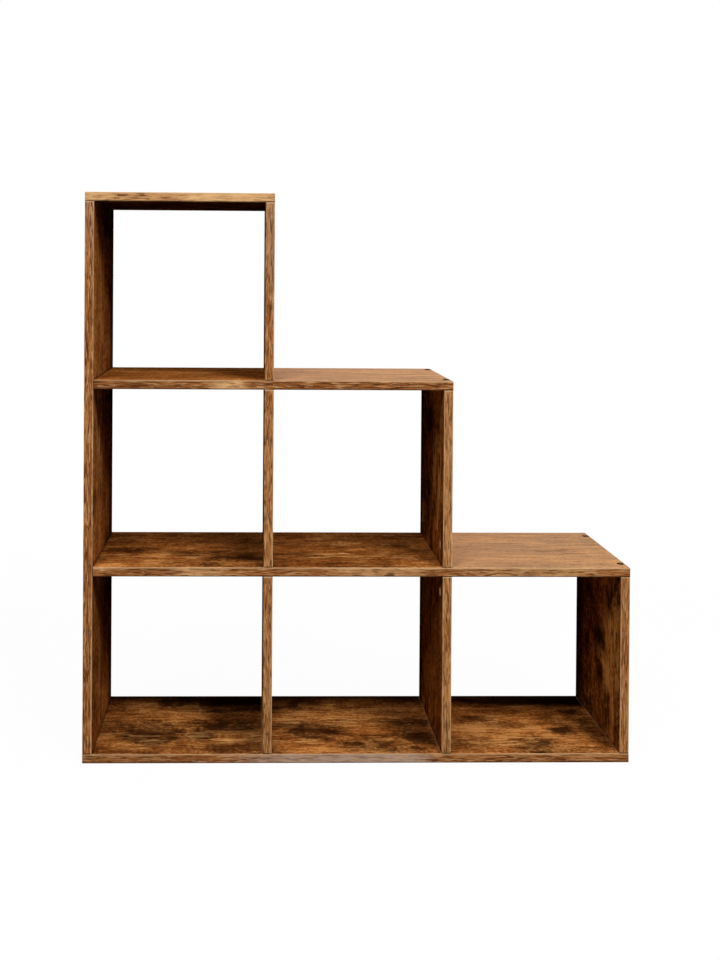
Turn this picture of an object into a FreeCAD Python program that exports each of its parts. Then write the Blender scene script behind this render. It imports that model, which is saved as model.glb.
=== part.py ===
"""Staircase bookshelf: eleven banded boards in three stepped columns, screwed, dowelled and cam-locked."""

import FreeCAD, Part
import os
import re
from collections import namedtuple

import Sketcher
from FreeCAD import Rotation, Vector

# Driving sizes in millimetres, with angles in degrees
SIZES = {
    # Cells and boards
    "cell_width": 298.5,
    "cell_height": 311.0,
    "shelf_depth": 295.0,
    "board_thickness": 16.0,
    # Edge bands: strips glued on the board edges, rounded along their outer edges
    "band_thickness": 1.0,
    "band_rounding": 0.7,
    "band_rounding_limit_share": 0.9,
    # Joints: fastener axis from the front or rear face, play round a pin, room beyond its tip
    "joint_inset": 32.0,
    "fit_clearance": 0.1,
    "end_gap": 0.5,
    # Furniture screws: countersunk heads with a hexagon socket, smooth necks, narrower threads
    "screw_length": 50.0,
    "screw_neck_diameter": 7.0,
    "screw_thread_relief": 0.3,
    "screw_head_flare": 1.5,
    "screw_head_angle": 90.0,
    "screw_head_sink": 0.3,
    "screw_tip_length": 5.0,
    "screw_tip_share": 0.4,
    "screw_socket_width": 4.0,
    "screw_socket_depth": 3.5,
    # Caps over the screw heads: how far each laps past the countersink, its rim and its dome
    "cap_lap": 1.1,
    "cap_rim_height": 0.6,
    "cap_dome_height": 1.2,
    # Dowels: bore in a board end, board left under a blind bore, tapered ends
    "dowel_diameter": 8.0,
    "dowel_end_length": 20.0,
    "dowel_floor": 6.0,
    "dowel_taper": 1.2,
    # Cam locks: axis from the board end, board left behind the bore, driver cross, turn that locks
    "cam_diameter": 15.0,
    "cam_distance": 34.0,
    "cam_floor": 3.5,
    "cam_cross_length": 7.0,
    "cam_cross_width": 1.4,
    "cam_cross_depth": 2.2,
    "cam_locking_angle": 120.0,
    # Cam bolts: one shank through the shelf with a neck and a ball head at each end
    "bolt_diameter": 7.8,
    "bolt_neck_diameter": 4.4,
    "bolt_head_diameter": 6.4,
}

COLUMNS, ROWS = 3, 3

# Places and sizes that follow from the driving sizes
LAYOUT = {
    "column_pitch": "cell_width + board_thickness",
    "row_pitch": "cell_height + board_thickness",
    "overall_width": f"{COLUMNS} * column_pitch + board_thickness",
    "left_face": "-overall_width / 2",
    "front_face": "-shelf_depth / 2",
    "half_board": "board_thickness / 2",
    "core_depth": "shelf_depth - 2 * band_thickness",
    "core_front": "front_face + band_thickness",
    "front_axis": "front_face + joint_inset",
    "rear_axis": "-front_axis",
    "side_height": f"{ROWS} * row_pitch - board_thickness",
    "screw_thread_radius": "screw_neck_diameter / 2 - screw_thread_relief",
    "screw_head_radius": "screw_neck_diameter / 2 + screw_head_flare",
    "screw_head_height": "screw_head_flare / tan(screw_head_angle / 2)",
    "screw_neck_length": "board_thickness - screw_head_sink - screw_head_height - end_gap",
    "screw_thread_length": "screw_length - screw_tip_length - screw_neck_length - screw_head_height",
    "screw_reach": "screw_length + screw_head_sink - board_thickness",
    "countersink_slack": "fit_clearance / cos(screw_head_angle / 2)",
    "countersink_flare": "screw_head_sink * tan(screw_head_angle / 2)",
    "countersink_radius": "screw_head_radius + countersink_flare + countersink_slack",
    "cap_radius": "countersink_radius + cap_lap",
    "cap_ball_radius": "(cap_radius ^ 2 + cap_dome_height ^ 2) / (2 * cap_dome_height)",
    "cap_height": "cap_rim_height + cap_dome_height",
    "cap_stud_length": "screw_head_sink + screw_socket_depth - end_gap",
    "cap_stud_width": "screw_socket_width - 2 * fit_clearance",
    "dowel_seat": "board_thickness - dowel_floor",
    "short_dowel_length": "dowel_seat + dowel_end_length",
    "long_dowel_length": "board_thickness + 2 * dowel_end_length",
    "cam_depth": "board_thickness - cam_floor",
    "cam_bolt_level": "cam_depth - half_board",
    "bolt_neck_slot": "bolt_neck_diameter + 2 * fit_clearance",
    "bolt_head_room": "bolt_head_diameter + 2 * fit_clearance",
    "cam_pocket": "bolt_head_room + 2 * end_gap",
    "bolt_neck_length": "cam_diameter / 2 + end_gap",
    "bolt_half_length": "half_board + cam_distance",
    "bolt_shank_length": "2 * (bolt_half_length - bolt_neck_length)",
    "screw_bore": "screw_neck_diameter + 2 * fit_clearance",
    "thread_bore": "2 * (screw_thread_radius + fit_clearance)",
    "thread_bore_depth": "screw_reach + end_gap",
    "dowel_bore": "dowel_diameter + 2 * fit_clearance",
    "dowel_bore_depth": "dowel_end_length + end_gap",
    "bolt_bore": "bolt_diameter + 2 * fit_clearance",
    "bolt_bore_depth": "cam_distance + bolt_head_room / 2",
    "cam_bore": "cam_diameter + 2 * fit_clearance",
}

RIGHT, BACK, UP = Vector(1, 0, 0), Vector(0, 1, 0), Vector(0, 0, 1)
LEFT, DOWN = -RIGHT, -UP

document = FreeCAD.newDocument("StaircaseBookshelf")


def in_document(formula):
    """A formula with each size and layout name written as a reference to the object that holds it."""

    def reference(match):
        name = match.group()
        owner = "Sizes." if name in SIZES else "Layout." if name in LAYOUT else ""
        return owner + name

    return re.sub(r"[a-z_]+", reference, formula)


def bind(thing, name, formula):
    thing.setExpression(name, in_document(formula))


def write_sizes():
    sheet = document.addObject("Spreadsheet::Sheet", "Sizes")
    for row, (alias, value) in enumerate(SIZES.items(), start=1):
        sheet.set(f"A{row}", alias.replace("_", " "))
        sheet.set(f"B{row}", str(value))
        sheet.setAlias(f"B{row}", alias)
    layout = document.addObject("App::VarSet", "Layout")
    for name, formula in LAYOUT.items():
        layout.addProperty("App::PropertyFloat", name, "Layout")
        bind(layout, name, formula)
    document.recompute()


def place(thing, x="0", y="0", z="0", rotation=Rotation()):
    thing.Placement.Rotation = rotation
    for axis, formula in zip("xyz", (x, y, z)):
        bind(thing, f"Placement.Base.{axis}", formula)


def turned(x_axis, z_axis):
    """The rotation that points a piece's own X and Z axes along two directions."""
    return Rotation(x_axis, z_axis.cross(x_axis), z_axis, "ZXY")


def primitive(kind, name, sizes, **where):
    solid = document.addObject(f"Part::{kind}", name)
    for size, formula in sizes.items():
        bind(solid, size, formula)
    place(solid, **where)
    return solid


def fused(name, pieces):
    union = document.addObject("Part::MultiFuse", name)
    union.Shapes = pieces
    return union


def cut(name, base, tool):
    rest = document.addObject("Part::Cut", name)
    rest.Base = base
    rest.Tool = tool
    return rest


def group(label, copies):
    """One node of separate solids: (piece, x, y, z, rotation) for each copy."""
    links = []
    for number, (piece, x, y, z, rotation) in enumerate(copies, start=1):
        link = document.addObject("App::Link", f"{label}_{number}")
        link.LinkedObject = piece
        place(link, x, y, z, rotation)
        links.append(link)
    node = document.addObject("Part::Compound", label)
    node.Links = links
    return node


def sketch_on(body, role, name, offset="0"):
    """An empty sketch on one of the body's own planes, moved out along the plane's normal."""
    sketch = body.newObject("Sketcher::SketchObject", name)
    plane = next(f for f in body.Origin.OriginFeatures if f.Role == role)
    sketch.AttachmentSupport = [(plane, "")]
    sketch.MapMode = "FlatFace"
    bind(sketch, "AttachmentOffset.Base.z", offset)
    return sketch


def rectangle(sketch, width, height):
    """A unit square from the sketch's origin, stretched to width and height."""
    corners = [Vector(0, 0, 0), Vector(1, 0, 0), Vector(1, 1, 0), Vector(0, 1, 0)]
    for start, end in zip(corners, corners[1:] + corners[:1]):
        sketch.addGeometry(Part.LineSegment(start, end))
    for side in range(len(corners)):
        following = (side + 1) % len(corners)
        sketch.addConstraint(Sketcher.Constraint("Coincident", side, 2, following, 1))
        direction = "Vertical" if side % 2 else "Horizontal"
        sketch.addConstraint(Sketcher.Constraint(direction, side))
    sketch.addConstraint(Sketcher.Constraint("Coincident", 0, 1, -1, 1))
    across = sketch.addConstraint(Sketcher.Constraint("DistanceX", 0, 1, 0, 2, 1))
    along = sketch.addConstraint(Sketcher.Constraint("DistanceY", 1, 1, 1, 2, 1))
    bind(sketch, f"Constraints[{across}]", width)
    bind(sketch, f"Constraints[{along}]", height)


def circles(sketch, marks, diameter):
    for across, along in marks:
        circle = sketch.addGeometry(Part.Circle(Vector(1, 1, 0), UP, 1))
        for kind, formula in (("DistanceX", across), ("DistanceY", along)):
            distance = sketch.addConstraint(Sketcher.Constraint(kind, -1, 1, circle, 3, 1))
            bind(sketch, f"Constraints[{distance}]", formula)
        width = sketch.addConstraint(Sketcher.Constraint("Diameter", circle, 1))
        bind(sketch, f"Constraints[{width}]", diameter)


def extruded(label, width, height, length):
    """A body whose rectangle lies in its own XY plane and is padded along Z."""
    body = document.addObject("PartDesign::Body", label)
    outline = sketch_on(body, "XY_Plane", f"{label}_outline")
    rectangle(outline, width, height)
    pad = body.newObject("PartDesign::Pad", f"{label}_pad")
    pad.Profile = outline
    bind(pad, "Length", length)
    document.recompute()
    return body


# Bores of one size in one board face. Marks are places on the face, and no depth means right through.
Bores = namedtuple("Bores", "name face marks diameter depth countersunk", defaults=(None, False))


def board(label, corner, extent, drilling):
    """A drilled board, drawn from its own left, front, lower corner."""
    length, _, height = extent
    faces = {
        "lower": ("XY_Plane", "0", True),
        "upper": ("XY_Plane", height, False),
        "left": ("YZ_Plane", "0", True),
        "right": ("YZ_Plane", length, False),
    }
    body = extruded(label, *extent)
    place(body, *corner)
    for bores in drilling:
        plane, offset, along_normal = faces[bores.face]
        sketch = sketch_on(body, plane, f"{label}_{bores.name}_marks", offset)
        circles(sketch, bores.marks, bores.diameter)
        document.recompute()
        hole = body.newObject("PartDesign::Hole", f"{label}_{bores.name}")
        hole.Profile = sketch
        hole.DrillPoint = "Flat"
        hole.Reversed = along_normal
        bind(hole, "Diameter", bores.diameter)
        hole.DepthType = "Dimension" if bores.depth else "ThroughAll"
        if bores.depth:
            bind(hole, "Depth", bores.depth)
        if bores.countersunk:
            hole.HoleCutType = "Countersink"
            hole.HoleCutCustomValues = True
            bind(hole, "HoleCutCountersinkAngle", "screw_head_angle")
            bind(hole, "HoleCutDiameter", "2 * countersink_radius")
        document.recompute()
    return body


# Fastener places on a board's core, from its front
MIDDLE_MARK = "shelf_depth / 2 - band_thickness"
PAIR_MARKS = ("joint_inset - band_thickness", "shelf_depth - joint_inset - band_thickness")

# Upright lines are counted from the left side, and shelf rows from the floor. A shelf's core starts so far
# in from the left face and runs to its last line. Uprights are screwed to it at some lines, from above or
# from below, and at others two of them are cam-locked to each other through it.
Shelf = namedtuple("Shelf", "row start last_line screwed locked from_below", defaults=(False,))
SHELVES = {
    "bottom_panel": Shelf(0, "band_thickness", 3, (0, 1, 2, 3), (), True),
    "lower_shelf": Shelf(1, "board_thickness", 3, (3,), (1, 2)),
    "middle_shelf": Shelf(2, "board_thickness", 2, (2,), (1,)),
    "top_panel": Shelf(3, "band_thickness", 1, (0, 1), ()),
}
BUTTED_SHELVES = ("lower_shelf", "middle_shelf")
Upright = namedtuple("Upright", "line row lower_joint upper_joint")
UPRIGHTS = {
    "lower_left_divider": Upright(1, 0, "screw", "cam"),
    "lower_right_divider": Upright(2, 0, "screw", "cam"),
    "lower_end_panel": Upright(3, 0, "screw", "screw"),
    "middle_divider": Upright(1, 1, "cam", "cam"),
    "middle_end_panel": Upright(2, 1, "cam", "screw"),
    "upper_end_panel": Upright(1, 2, "cam", "screw"),
}


def line_left(line):
    return f"left_face + {line} * column_pitch"


def line_axis(line):
    return f"{line_left(line)} + half_board"


def underside(row):
    return f"{row} * row_pitch"


def upper_side(row):
    return f"{row} * row_pitch + board_thickness"


def shelf_boards():
    nodes = []
    for name, shelf in SHELVES.items():

        def marks(lines, places):
            axes = [f"{line} * column_pitch + half_board - {shelf.start}" for line in lines]
            return [(x, y) for x in axes for y in places]

        screw_face, dowel_face = ("lower", "upper") if shelf.from_below else ("upper", "lower")
        screw_marks, dowel_marks = marks(shelf.screwed, PAIR_MARKS), marks(shelf.screwed, [MIDDLE_MARK])
        drilling = [
            Bores("screw_bores", screw_face, screw_marks, "screw_bore", countersunk=True),
            Bores("dowel_bores", dowel_face, dowel_marks, "dowel_bore", "dowel_seat + end_gap"),
        ]
        if shelf.locked:
            drilling += [
                Bores("bolt_bores", "upper", marks(shelf.locked, PAIR_MARKS), "bolt_bore"),
                Bores("through_dowel_bores", "upper", marks(shelf.locked, [MIDDLE_MARK]), "dowel_bore"),
            ]
        if name in BUTTED_SHELVES:
            pair = [(y, "half_board") for y in PAIR_MARKS]
            middle = [(MIDDLE_MARK, "half_board")]
            drilling += [
                Bores("end_screw_bores", "left", pair, "thread_bore", "thread_bore_depth"),
                Bores("end_dowel_bore", "left", middle, "dowel_bore", "dowel_bore_depth"),
            ]
        length = f"{shelf.last_line} * column_pitch + board_thickness - {shelf.start} - band_thickness"
        corner = (f"left_face + {shelf.start}", "core_front", underside(shelf.row))
        nodes.append(board(name, corner, (length, "core_depth", "board_thickness"), drilling))
    return nodes


def end_bores(end, joint, height):
    """The bores in one end of an upright, and for a cam joint the cam bores in its left face."""
    pair = [("half_board", y) for y in PAIR_MARKS]
    middle = [("half_board", MIDDLE_MARK)]
    dowel_bore = Bores(f"{end}_dowel_bore", end, middle, "dowel_bore", "dowel_bore_depth")
    if joint == "screw":
        return [dowel_bore, Bores(f"{end}_screw_bores", end, pair, "thread_bore", "thread_bore_depth")]
    level = "cam_distance" if end == "lower" else f"{height} - cam_distance"
    cams = [(y, level) for y in PAIR_MARKS]
    return [
        dowel_bore,
        Bores(f"{end}_bolt_bores", end, pair, "bolt_bore", "bolt_bore_depth"),
        Bores(f"{end}_cam_bores", "left", cams, "cam_bore", "cam_depth"),
    ]


def upright_boards():
    nodes = []
    extent = ("board_thickness", "core_depth", "cell_height")
    for name, upright in UPRIGHTS.items():
        drilling = end_bores("lower", upright.lower_joint, "cell_height")
        drilling += end_bores("upper", upright.upper_joint, "cell_height")
        corner = (line_left(upright.line), "core_front", upper_side(upright.row))
        nodes.append(board(name, corner, extent, drilling))
    return nodes


def left_side_board():
    levels = [f"{underside(SHELVES[name].row)} - half_board" for name in BUTTED_SHELVES]
    screws = [(y, level) for level in levels for y in PAIR_MARKS]
    dowels = [(MIDDLE_MARK, level) for level in levels]
    drilling = end_bores("lower", "screw", "side_height") + end_bores("upper", "screw", "side_height")
    drilling += [
        Bores("shelf_screw_bores", "left", screws, "screw_bore", countersunk=True),
        Bores("shelf_dowel_bores", "right", dowels, "dowel_bore", "dowel_seat + end_gap"),
    ]
    corner = ("left_face", "core_front", "board_thickness")
    return board("left_side_panel", corner, ("board_thickness", "core_depth", "side_height"), drilling)


def band_strip(name, length):
    """An edge band along Z, its outer face at y = 0, with both outer long edges rounded."""
    body = extruded(name, "board_thickness", "band_thickness", length)
    pad = body.Tip
    outer = [
        f"Edge{number}"
        for number, edge in enumerate(pad.Shape.Edges, start=1)
        if edge.BoundBox.ZLength > edge.BoundBox.XLength
        and edge.CenterOfMass.y < SIZES["band_thickness"] / 2
    ]
    rounding = body.newObject("PartDesign::Fillet", f"{name}_rounding")
    rounding.Base = (pad, outer)
    bind(rounding, "Radius", "min(band_rounding; band_rounding_limit_share * band_thickness)")
    document.recompute()
    return body


def edge_bands():
    nodes = []
    end_strip = band_strip("end_band_strip", "core_depth")
    for name, shelf in SHELVES.items():
        left = f"left_face + {shelf.start}" if name in BUTTED_SHELVES else "left_face"
        right = f"{line_left(shelf.last_line)} + board_thickness"
        low, high = underside(shelf.row), upper_side(shelf.row)
        strip = band_strip(f"{name}_band_strip", f"{right} - ({left})")
        copies = [
            (strip, left, "front_face", high, turned(DOWN, RIGHT)),
            (strip, left, "-front_face", low, turned(UP, RIGHT)),
            (end_strip, right, "core_front", high, turned(DOWN, BACK)),
        ]
        if name not in BUTTED_SHELVES:
            copies.append((end_strip, left, "core_front", low, turned(UP, BACK)))
        nodes.append(group(f"{name}_edge_bands", copies))
    upright_strip = band_strip("upright_band_strip", "cell_height")
    standing = [("left_side_panel", band_strip("left_side_band_strip", "side_height"), 0, 0)]
    standing += [(name, upright_strip, upright.line, upright.row) for name, upright in UPRIGHTS.items()]
    for name, strip, line, row in standing:
        left, low = line_left(line), upper_side(row)
        copies = [
            (strip, left, "front_face", low, turned(RIGHT, UP)),
            (strip, f"{left} + board_thickness", "-front_face", low, turned(LEFT, UP)),
        ]
        nodes.append(group(f"{name}_edge_bands", copies))
    return nodes


def hexagon(name, width, height, **where):
    prism = primitive("Prism", name, {"Circumradius": f"{width} / sqrt(3)", "Height": height}, **where)
    prism.Polygon = 6
    return prism


def screw():
    """A furniture screw along Z, its tip at the origin."""
    thread_top = "screw_tip_length + screw_thread_length"
    tip_sizes = {
        "Radius1": "screw_thread_radius * screw_tip_share",
        "Radius2": "screw_thread_radius",
        "Height": "screw_tip_length",
    }
    thread_sizes = {"Radius": "screw_thread_radius", "Height": "screw_thread_length"}
    neck_sizes = {"Radius": "screw_neck_diameter / 2", "Height": "screw_neck_length"}
    head_sizes = {
        "Radius1": "screw_neck_diameter / 2",
        "Radius2": "screw_head_radius",
        "Height": "screw_head_height",
    }
    blank = fused(
        "screw_blank",
        [
            primitive("Cone", "screw_tip", tip_sizes),
            primitive("Cylinder", "screw_thread", thread_sizes, z="screw_tip_length"),
            primitive("Cylinder", "screw_neck", neck_sizes, z=thread_top),
            primitive("Cone", "screw_head", head_sizes, z="screw_length - screw_head_height"),
        ],
    )
    socket_floor = "screw_length - screw_socket_depth"
    socket = hexagon("screw_socket", "screw_socket_width", "screw_socket_depth", z=socket_floor)
    return cut("screw", blank, socket)


def screw_cap():
    """A domed cap that stands on z = 0, with a hexagon stud below for the screw's socket."""
    disc = primitive("Cylinder", "cap_disc", {"Radius": "cap_radius", "Height": "cap_height"})
    ball = primitive("Sphere", "cap_ball", {"Radius": "cap_ball_radius"}, z="cap_height - cap_ball_radius")
    dome = document.addObject("Part::Common", "cap_dome")
    dome.Base = disc
    dome.Tool = ball
    stud = hexagon("cap_stud", "cap_stud_width", "cap_stud_length", z="-cap_stud_length")
    return fused("screw_cap", [dome, stud])


def dowel(name, length):
    """A wooden dowel along Z from the origin, with tapered ends."""
    radius, narrow = "dowel_diameter / 2", "dowel_diameter / 2 - dowel_taper / 2"
    lower = {"Radius1": narrow, "Radius2": radius, "Height": "dowel_taper"}
    upper = {"Radius1": radius, "Radius2": narrow, "Height": "dowel_taper"}
    middle = {"Radius": radius, "Height": f"{length} - 2 * dowel_taper"}
    pieces = [
        primitive("Cone", f"{name}_lower_taper", lower),
        primitive("Cylinder", f"{name}_middle", middle, z="dowel_taper"),
        primitive("Cone", f"{name}_upper_taper", upper, z=f"{length} - dowel_taper"),
    ]
    return fused(name, pieces)


def cam():
    """A cam lock along Z with its driver cross at the top, tightened on a bolt that comes in along X.

    The bolt's ball head goes in at the entry, and its neck follows the slot through the locking turn."""
    body = primitive("Cylinder", "cam_body", {"Radius": "cam_diameter / 2", "Height": "cam_depth"})
    slot_sizes = {"Length": "cam_diameter", "Width": "bolt_neck_slot", "Height": "bolt_neck_slot"}
    sweep_sizes = {"Radius": "cam_diameter", "Height": "bolt_neck_slot", "Angle": "cam_locking_angle"}
    head_sizes = {"Radius": "cam_pocket / 2", "Height": "cam_pocket"}
    entry_sizes = {"Radius": "bolt_head_room / 2", "Height": "cam_diameter"}
    slot_floor = "cam_bolt_level - bolt_neck_slot / 2"
    entry_way = Rotation(UP, SIZES["cam_locking_angle"]).multVec(RIGHT)
    slot = primitive("Box", "cam_slot", slot_sizes, y="-bolt_neck_slot / 2", z=slot_floor)
    sweep = primitive("Cylinder", "cam_slot_sweep", sweep_sizes, z=slot_floor)
    pocket = primitive("Cylinder", "cam_head_pocket", head_sizes, z="cam_bolt_level - cam_pocket / 2")
    entry = primitive("Cylinder", "cam_entry", entry_sizes, z="cam_bolt_level")
    entry.Placement.Rotation = turned(UP, entry_way)
    tools = [slot, sweep, pocket, entry]
    arms = (("cam_cross_length", "cam_cross_width"), ("cam_cross_width", "cam_cross_length"))
    for number, (length, width) in enumerate(arms, start=1):
        sizes = {"Length": length, "Width": width, "Height": "cam_cross_depth"}
        where = {"x": f"-{length} / 2", "y": f"-{width} / 2", "z": "cam_depth - cam_cross_depth"}
        tools.append(primitive("Box", f"cam_cross_arm_{number}", sizes, **where))
    return cut("cam", body, fused("cam_cuts", tools))


def cam_bolt():
    """A double-ended bolt along Z, centred on the origin, with a ball head on each cam axis."""
    shank_sizes = {"Radius": "bolt_diameter / 2", "Height": "bolt_shank_length"}
    neck_sizes = {"Radius": "bolt_neck_diameter / 2", "Height": "2 * bolt_half_length"}
    head_sizes = {"Radius": "bolt_head_diameter / 2"}
    pieces = [
        primitive("Cylinder", "bolt_shank", shank_sizes, z="-bolt_shank_length / 2"),
        primitive("Cylinder", "bolt_necks", neck_sizes, z="-bolt_half_length"),
        primitive("Sphere", "bolt_lower_head", head_sizes, z="-bolt_half_length"),
        primitive("Sphere", "bolt_upper_head", head_sizes, z="bolt_half_length"),
    ]
    return fused("cam_bolt", pieces)


def screws_caps_and_short_dowels():
    screw_piece, cap_piece = screw(), screw_cap()
    dowel_piece = dowel("short_dowel", "short_dowel_length")
    depths = ("front_axis", "rear_axis")
    head = "(screw_length + screw_head_sink)"
    nodes = []
    for name, shelf in SHELVES.items():
        axes = [line_axis(line) for line in shelf.screwed]
        low, high = underside(shelf.row), upper_side(shelf.row)
        if shelf.from_below:
            way, tip, dowel_foot = DOWN, f"{low} + {head}", f"{high} - dowel_seat"
        else:
            way, tip, dowel_foot = UP, f"{high} - {head}", f"{low} - dowel_end_length"
            caps = [(cap_piece, x, y, high, Rotation()) for x in axes for y in depths]
            nodes.append(group(f"{name}_screw_caps", caps))
        screws = [(screw_piece, x, y, tip, turned(RIGHT, way)) for x in axes for y in depths]
        dowels = [(dowel_piece, x, "0", dowel_foot, Rotation()) for x in axes]
        nodes.append(group(f"{name}_screws", screws))
        nodes.append(group(f"{name}_end_dowels", dowels))
    sideways = turned(UP, LEFT)
    levels = [f"{underside(SHELVES[name].row)} + half_board" for name in BUTTED_SHELVES]
    screws = [(screw_piece, f"left_face + {head}", y, z, sideways) for z in levels for y in depths]
    caps = [(cap_piece, "left_face", y, z, sideways) for z in levels for y in depths]
    dowel_end = "left_face + board_thickness + dowel_end_length"
    dowels = [(dowel_piece, dowel_end, "0", z, sideways) for z in levels]
    nodes.append(group("left_side_panel_screws", screws))
    nodes.append(group("left_side_panel_screw_caps", caps))
    nodes.append(group("left_side_panel_dowels", dowels))
    return nodes


def cam_joints():
    cam_piece, bolt_piece = cam(), cam_bolt()
    dowel_piece = dowel("long_dowel", "long_dowel_length")
    depths = ("front_axis", "rear_axis")
    nodes = []
    for name, shelf in SHELVES.items():
        low, high = underside(shelf.row), upper_side(shelf.row)
        for line in shelf.locked:
            joint = f"{name}_line_{line}"
            axis, cam_foot = line_axis(line), f"{line_left(line)} + cam_depth"
            cams = []
            for z, to_shelf in ((f"{low} - cam_distance", UP), (f"{high} + cam_distance", DOWN)):
                cams += [(cam_piece, cam_foot, y, z, turned(to_shelf, LEFT)) for y in depths]
            bolts = [(bolt_piece, axis, y, f"{low} + half_board", Rotation()) for y in depths]
            dowels = [(dowel_piece, axis, "0", f"{low} - dowel_end_length", Rotation())]
            nodes.append(group(f"{joint}_cam_locks", cams))
            nodes.append(group(f"{joint}_cam_bolts", bolts))
            nodes.append(group(f"{joint}_through_dowel", dowels))
    return nodes


def check():
    """Stops on a failed object, a bad shape or a bore that took nothing away."""
    for thing in document.Objects:
        if {"Invalid", "Error"} & set(thing.State):
            raise RuntimeError(f"{thing.Label} failed: {thing.State}")
        if thing.TypeId == "PartDesign::Hole" and thing.Shape.Volume >= thing.BaseFeature.Shape.Volume:
            raise RuntimeError(f"{thing.Label} cuts nothing")
    for node in nodes:
        if node.Shape.isNull() or not node.Shape.isValid():
            raise RuntimeError(f"{node.Label} has no valid shape")


write_sizes()
nodes = shelf_boards() + upright_boards() + [left_side_board()]
nodes += edge_bands() + screws_caps_and_short_dowels() + cam_joints()
document.recompute()
check()
os.makedirs("parts", exist_ok=True)
for node in nodes:
    node.Shape.exportStep(f"parts/{node.Label}.step")
print(len(nodes), "nodes,", sum(len(node.Shape.Solids) for node in nodes), "solids")
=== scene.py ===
"""Looks of the staircase bookshelf: rustic laminate boards, edge bands, caps, screws and cam fittings.

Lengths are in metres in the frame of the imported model: the floor is z = 0 and the front faces -y.
"""

import math

import bmesh
import bpy
from mathutils import Matrix, Vector


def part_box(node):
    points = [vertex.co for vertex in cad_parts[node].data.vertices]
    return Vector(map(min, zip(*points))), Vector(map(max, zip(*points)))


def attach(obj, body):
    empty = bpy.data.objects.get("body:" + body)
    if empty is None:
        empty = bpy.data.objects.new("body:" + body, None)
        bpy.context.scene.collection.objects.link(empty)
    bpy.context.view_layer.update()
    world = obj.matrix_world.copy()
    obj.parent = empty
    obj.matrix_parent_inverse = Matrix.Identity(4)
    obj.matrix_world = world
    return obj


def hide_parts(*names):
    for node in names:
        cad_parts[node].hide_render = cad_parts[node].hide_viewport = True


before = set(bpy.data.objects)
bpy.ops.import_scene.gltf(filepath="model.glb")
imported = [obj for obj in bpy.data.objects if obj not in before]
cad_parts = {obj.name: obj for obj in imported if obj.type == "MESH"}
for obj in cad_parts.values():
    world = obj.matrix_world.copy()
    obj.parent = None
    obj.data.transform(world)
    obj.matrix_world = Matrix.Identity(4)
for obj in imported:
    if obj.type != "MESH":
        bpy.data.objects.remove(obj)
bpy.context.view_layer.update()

MM = 0.001
AXES = "xyz"


def middle(node, axis):
    """The middle of a node along x, y or z."""
    low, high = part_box(node)
    number = AXES.index(axis)
    return (low[number] + high[number]) / 2


def srgb(red, green, blue):
    """A colour given as the eye reads it, 0 to 255, as Blender's linear colour."""
    def linear(level):
        share = level / 255.0
        return share / 12.92 if share <= 0.04045 else ((share + 0.055) / 1.055) ** 2.4

    return (linear(red), linear(green), linear(blue), 1.0)


# Camera, from the lines of the boards in the photograph.
IMAGE_WIDTH = 720
IMAGE_HEIGHT = 960
CAMERA_PLACE = Vector((-0.18395, -2.27635, 0.8533))
CAMERA_YAW = math.radians(1.241)
CAMERA_PITCH = math.radians(0.513)
CAMERA_ROLL = math.radians(0.37)
FOCAL_PIXELS = 1220.74
AXIS_PIXEL = (281.1, 286.6)
SENSOR_MM = 36.0

# Studio: lamps as (name, azimuth, elevation, level) and rims as (name, way to it, level), with level 1 for
# white on a facing white surface.
WHITE = (1.0, 1.0, 1.0, 1.0)
FLOOR_SIZE = 60.0
FLOOR_GREY = (0.12, 0.12, 0.12, 1.0)
FLOOR_WHITE_SHARE = 0.97
FLOOR_NEAR = 0.9
FLOOR_FAR = 2.4
LAMP_AIM = Vector((0.0, 0.0, 0.45))
LAMP_DISTANCE = 7.0
LAMP_SIZE = 2.4
LAMPS = (
    ("key", 30.0, 45.0, 0.56),
    ("overhead", 0.0, 88.0, 0.42),
    ("left_fill", -30.0, 45.0, 0.30),
)
RIMS = (
    ("front_rim", (0.0, -1.0, 0.0), 0.12),
    ("left_rim", (-1.0, 0.0, 0.0), 0.5),
    ("right_rim", (1.0, 0.0, 0.0), 0.5),
    ("back_rim", (0.0, 1.0, 0.0), 0.3),
)
RIM_ANGLE = math.radians(1.0)

# Boards and joints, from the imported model.
SHELVES = ("bottom_panel", "lower_shelf", "middle_shelf", "top_panel")
UPRIGHTS = (
    "left_side_panel",
    "lower_left_divider",
    "lower_right_divider",
    "lower_end_panel",
    "middle_divider",
    "middle_end_panel",
    "upper_end_panel",
)
bottom_low, bottom_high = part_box("bottom_panel")
side_low, side_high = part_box("left_side_panel")
top_low, top_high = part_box("top_panel")
BOARD = bottom_high.z - bottom_low.z
HALF_BOARD = BOARD / 2
SHELF_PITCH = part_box("lower_shelf")[0].z - bottom_low.z
HALF_PITCH = SHELF_PITCH / 2
UPRIGHT_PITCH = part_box("lower_left_divider")[0].x - side_low.x
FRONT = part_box("bottom_panel_edge_bands")[0].y
REAR = bottom_high.y

# The two steps: the panel at the foot of which each begins, and its shelf.
STEPS = (("middle_end_panel", "lower_shelf"), ("upper_end_panel", "middle_shelf"))

# Faces that carry patches of the print, and of painted shade.
BOTTOM_TOP = bottom_high.z
LOWER_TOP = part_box("lower_shelf")[1].z
MIDDLE_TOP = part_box("middle_shelf")[1].z
TOP_UNDER = top_low.z
TOP_FACE = top_high.z
LEFT_INNER = side_high.x
DIVIDER_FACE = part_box("lower_left_divider")[0].x
MIDDLE_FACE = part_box("middle_end_panel")[0].x
END_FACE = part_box("lower_end_panel")[0].x

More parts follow.
